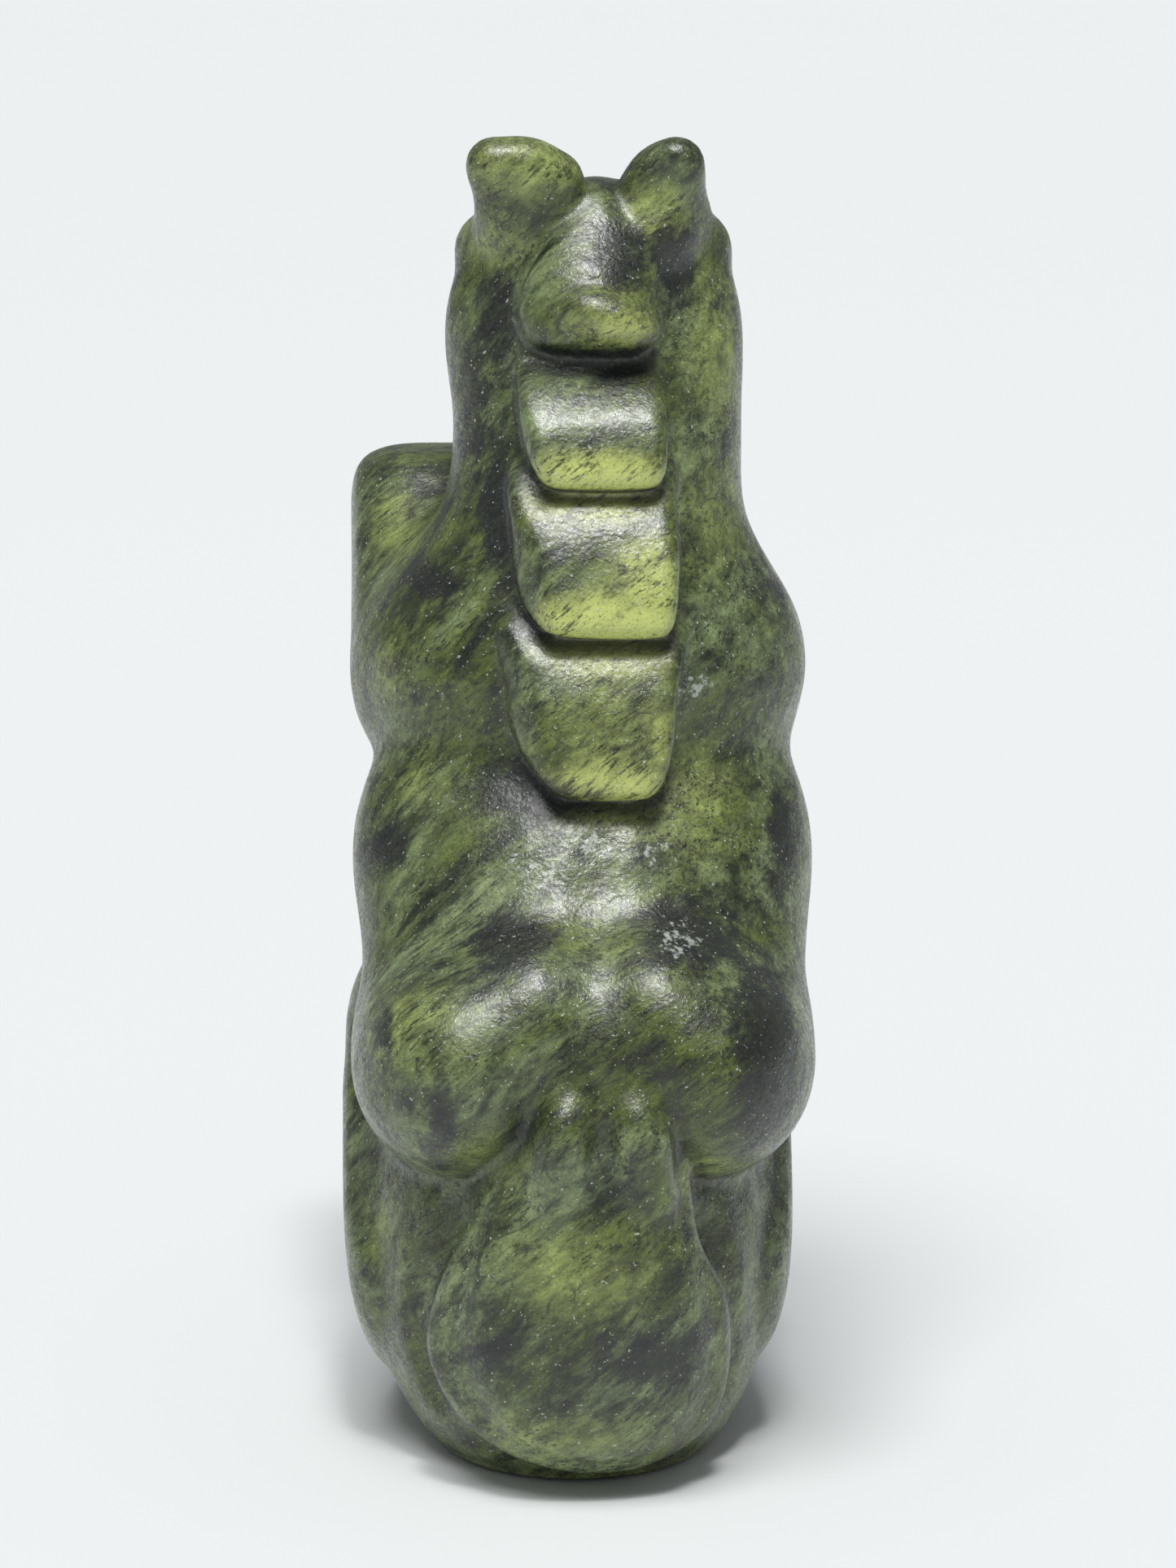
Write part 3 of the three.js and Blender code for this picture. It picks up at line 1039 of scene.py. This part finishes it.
def jade():
    material = bpy.data.materials.new("jade")
    n = Nodes(material)
    object_place = n.add("ShaderNodeTexCoord").outputs["Object"]
    place = n.add("ShaderNodeVectorMath", {"operation": "SCALE"}, Vector=object_place, Scale=1 / MM)
    place = place.outputs["Vector"]
    colour = jade_colour(n, place)

    worn = n.math("MULTIPLY_ADD", n.noise(place, 1.8, 5, 0.65), 0.8, -0.16)
    pits = n.math("MULTIPLY", n.ramp(n.noise(place, 0.24, 2, 0.6), 0.42, 0.6), 0.3)
    roughness = n.math("ADD", worn, pits)
    roughness = n.math("ADD", roughness, n.math("MULTIPLY", n.attribute("hollow"), 0.2))
    swell = n.math("MULTIPLY", n.noise(place, 2.4, 3, 0.5), 0.16)
    grain = n.math("MULTIPLY", n.noise(place, 0.22, 3, 0.6), 0.06)
    bump = n.add("ShaderNodeBump", Strength=1.0, Distance=MM, Height=n.math("ADD", swell, grain))
    smoother = n.math("MULTIPLY_ADD", grain, 0.3, swell)
    polish = n.add("ShaderNodeBump", Strength=1.0, Distance=MM, Height=smoother)

    shader = n.add(
        "ShaderNodeBsdfPrincipled",
        Base_Color=colour,
        Roughness=roughness,
        IOR=1.61,
        Normal=bump.outputs["Normal"],
        Subsurface_Weight=0.22,
        Subsurface_Radius=(0.9, 1.1, 0.5),
        Subsurface_Scale=1.2 * MM,
        Specular_IOR_Level=0.4,
        Coat_Weight=0.35,
        Coat_Roughness=0.22,
        Coat_IOR=1.55,
        Coat_Normal=polish.outputs["Normal"],
    )
    output = n.add("ShaderNodeOutputMaterial")
    n.put(output.inputs["Surface"], shader.outputs["BSDF"])
    return material


# ---- Floor, light and camera -------------------------------------------------------------------


def plain(name, colour, roughness):
    material = bpy.data.materials.new(name)
    n = Nodes(material)
    shader = n.add("ShaderNodeBsdfPrincipled", Base_Color=colour, Roughness=roughness)
    output = n.add("ShaderNodeOutputMaterial")
    n.put(output.inputs["Surface"], shader.outputs["BSDF"])
    return material


def add_floor(half=6.0):
    """A pale square; half its side is given in metres."""
    mesh = bpy.data.meshes.new("floor")
    corners = [(-half, -half, 0), (half, -half, 0), (half, half, 0), (-half, half, 0)]
    mesh.from_pydata(corners, [], [(0, 1, 2, 3)])
    mesh.materials.append(plain("pale_floor", srgb(228, 231, 231), 0.7))
    floor = bpy.data.objects.new("floor", mesh)
    bpy.context.scene.collection.objects.link(floor)


def aim(thing, target):
    thing.rotation_euler = (Vector(target) - thing.location).to_track_quat("-Z", "Y").to_euler()


def add_light(name, direction, strength, spread, colour=(1, 1, 1)):
    """A far, soft lamp that shines from a direction; spread is its width in degrees."""
    lamp = bpy.data.lights.new(name, "SUN")
    lamp.energy = strength
    lamp.angle = math.radians(spread)
    lamp.color = colour
    sun = bpy.data.objects.new(name, lamp)
    sun.location = direction
    bpy.context.scene.collection.objects.link(sun)
    aim(sun, (0, 0, 0))


def add_world(strength):
    world = bpy.data.worlds.new("soft_room")
    world.use_nodes = True
    background = world.node_tree.nodes["Background"]
    background.inputs["Color"].default_value = (0.93, 0.96, 1.0, 1)
    background.inputs["Strength"].default_value = strength
    bpy.context.scene.world = world


AZIMUTH = -2.0  # degrees; 0 looks along +Y
ELEVATION = 12.0  # degrees
DISTANCE = 0.3  # metres from the target
SENSOR = 36  # millimetres
LENS = 111.6  # millimetres
ASIDE = 0.5 * MM  # from the middle of the carving to the target
UP = 0.507  # the target's share of the carving's height


def add_camera():
    low, high = cad_box
    across = (low[0] + high[0]) / 2 + ASIDE
    target = Vector((across, 0, low[2] + UP * (high[2] - low[2])))
    azimuth, elevation = math.radians(AZIMUTH), math.radians(ELEVATION)
    back = Vector(
        (
            math.sin(azimuth) * math.cos(elevation),
            -math.cos(azimuth) * math.cos(elevation),
            math.sin(elevation),
        )
    )
    data = bpy.data.cameras.new("camera")
    data.lens = LENS
    data.sensor_width = SENSOR
    data.clip_start = 0.01
    data.clip_end = 100
    camera = bpy.data.objects.new("camera", data)
    camera.location = target + DISTANCE * back
    bpy.context.scene.collection.objects.link(camera)
    aim(camera, target)
    bpy.context.scene.camera = camera


def add_lights():
    add_light("overhead", (-0.1, -0.32, 0.94), 2.0, 30)
    add_light("window", (0.05, -0.37, 0.93), 1.0, 8)
    add_world(0.28)


# ---- The scene ---------------------------------------------------------------------------------


def add_horse():
    """One stone, which stands for every node of the CAD model."""
    mesh = stone_mesh(carve())
    mesh.materials.append(jade())
    horse = bpy.data.objects.new("jade_horse", mesh)
    bpy.context.scene.collection.objects.link(horse)
    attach(horse, "root")
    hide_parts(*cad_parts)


add_horse()
add_floor()
add_lights()
add_camera()
bpy.context.scene.view_settings.view_transform = "Standard"
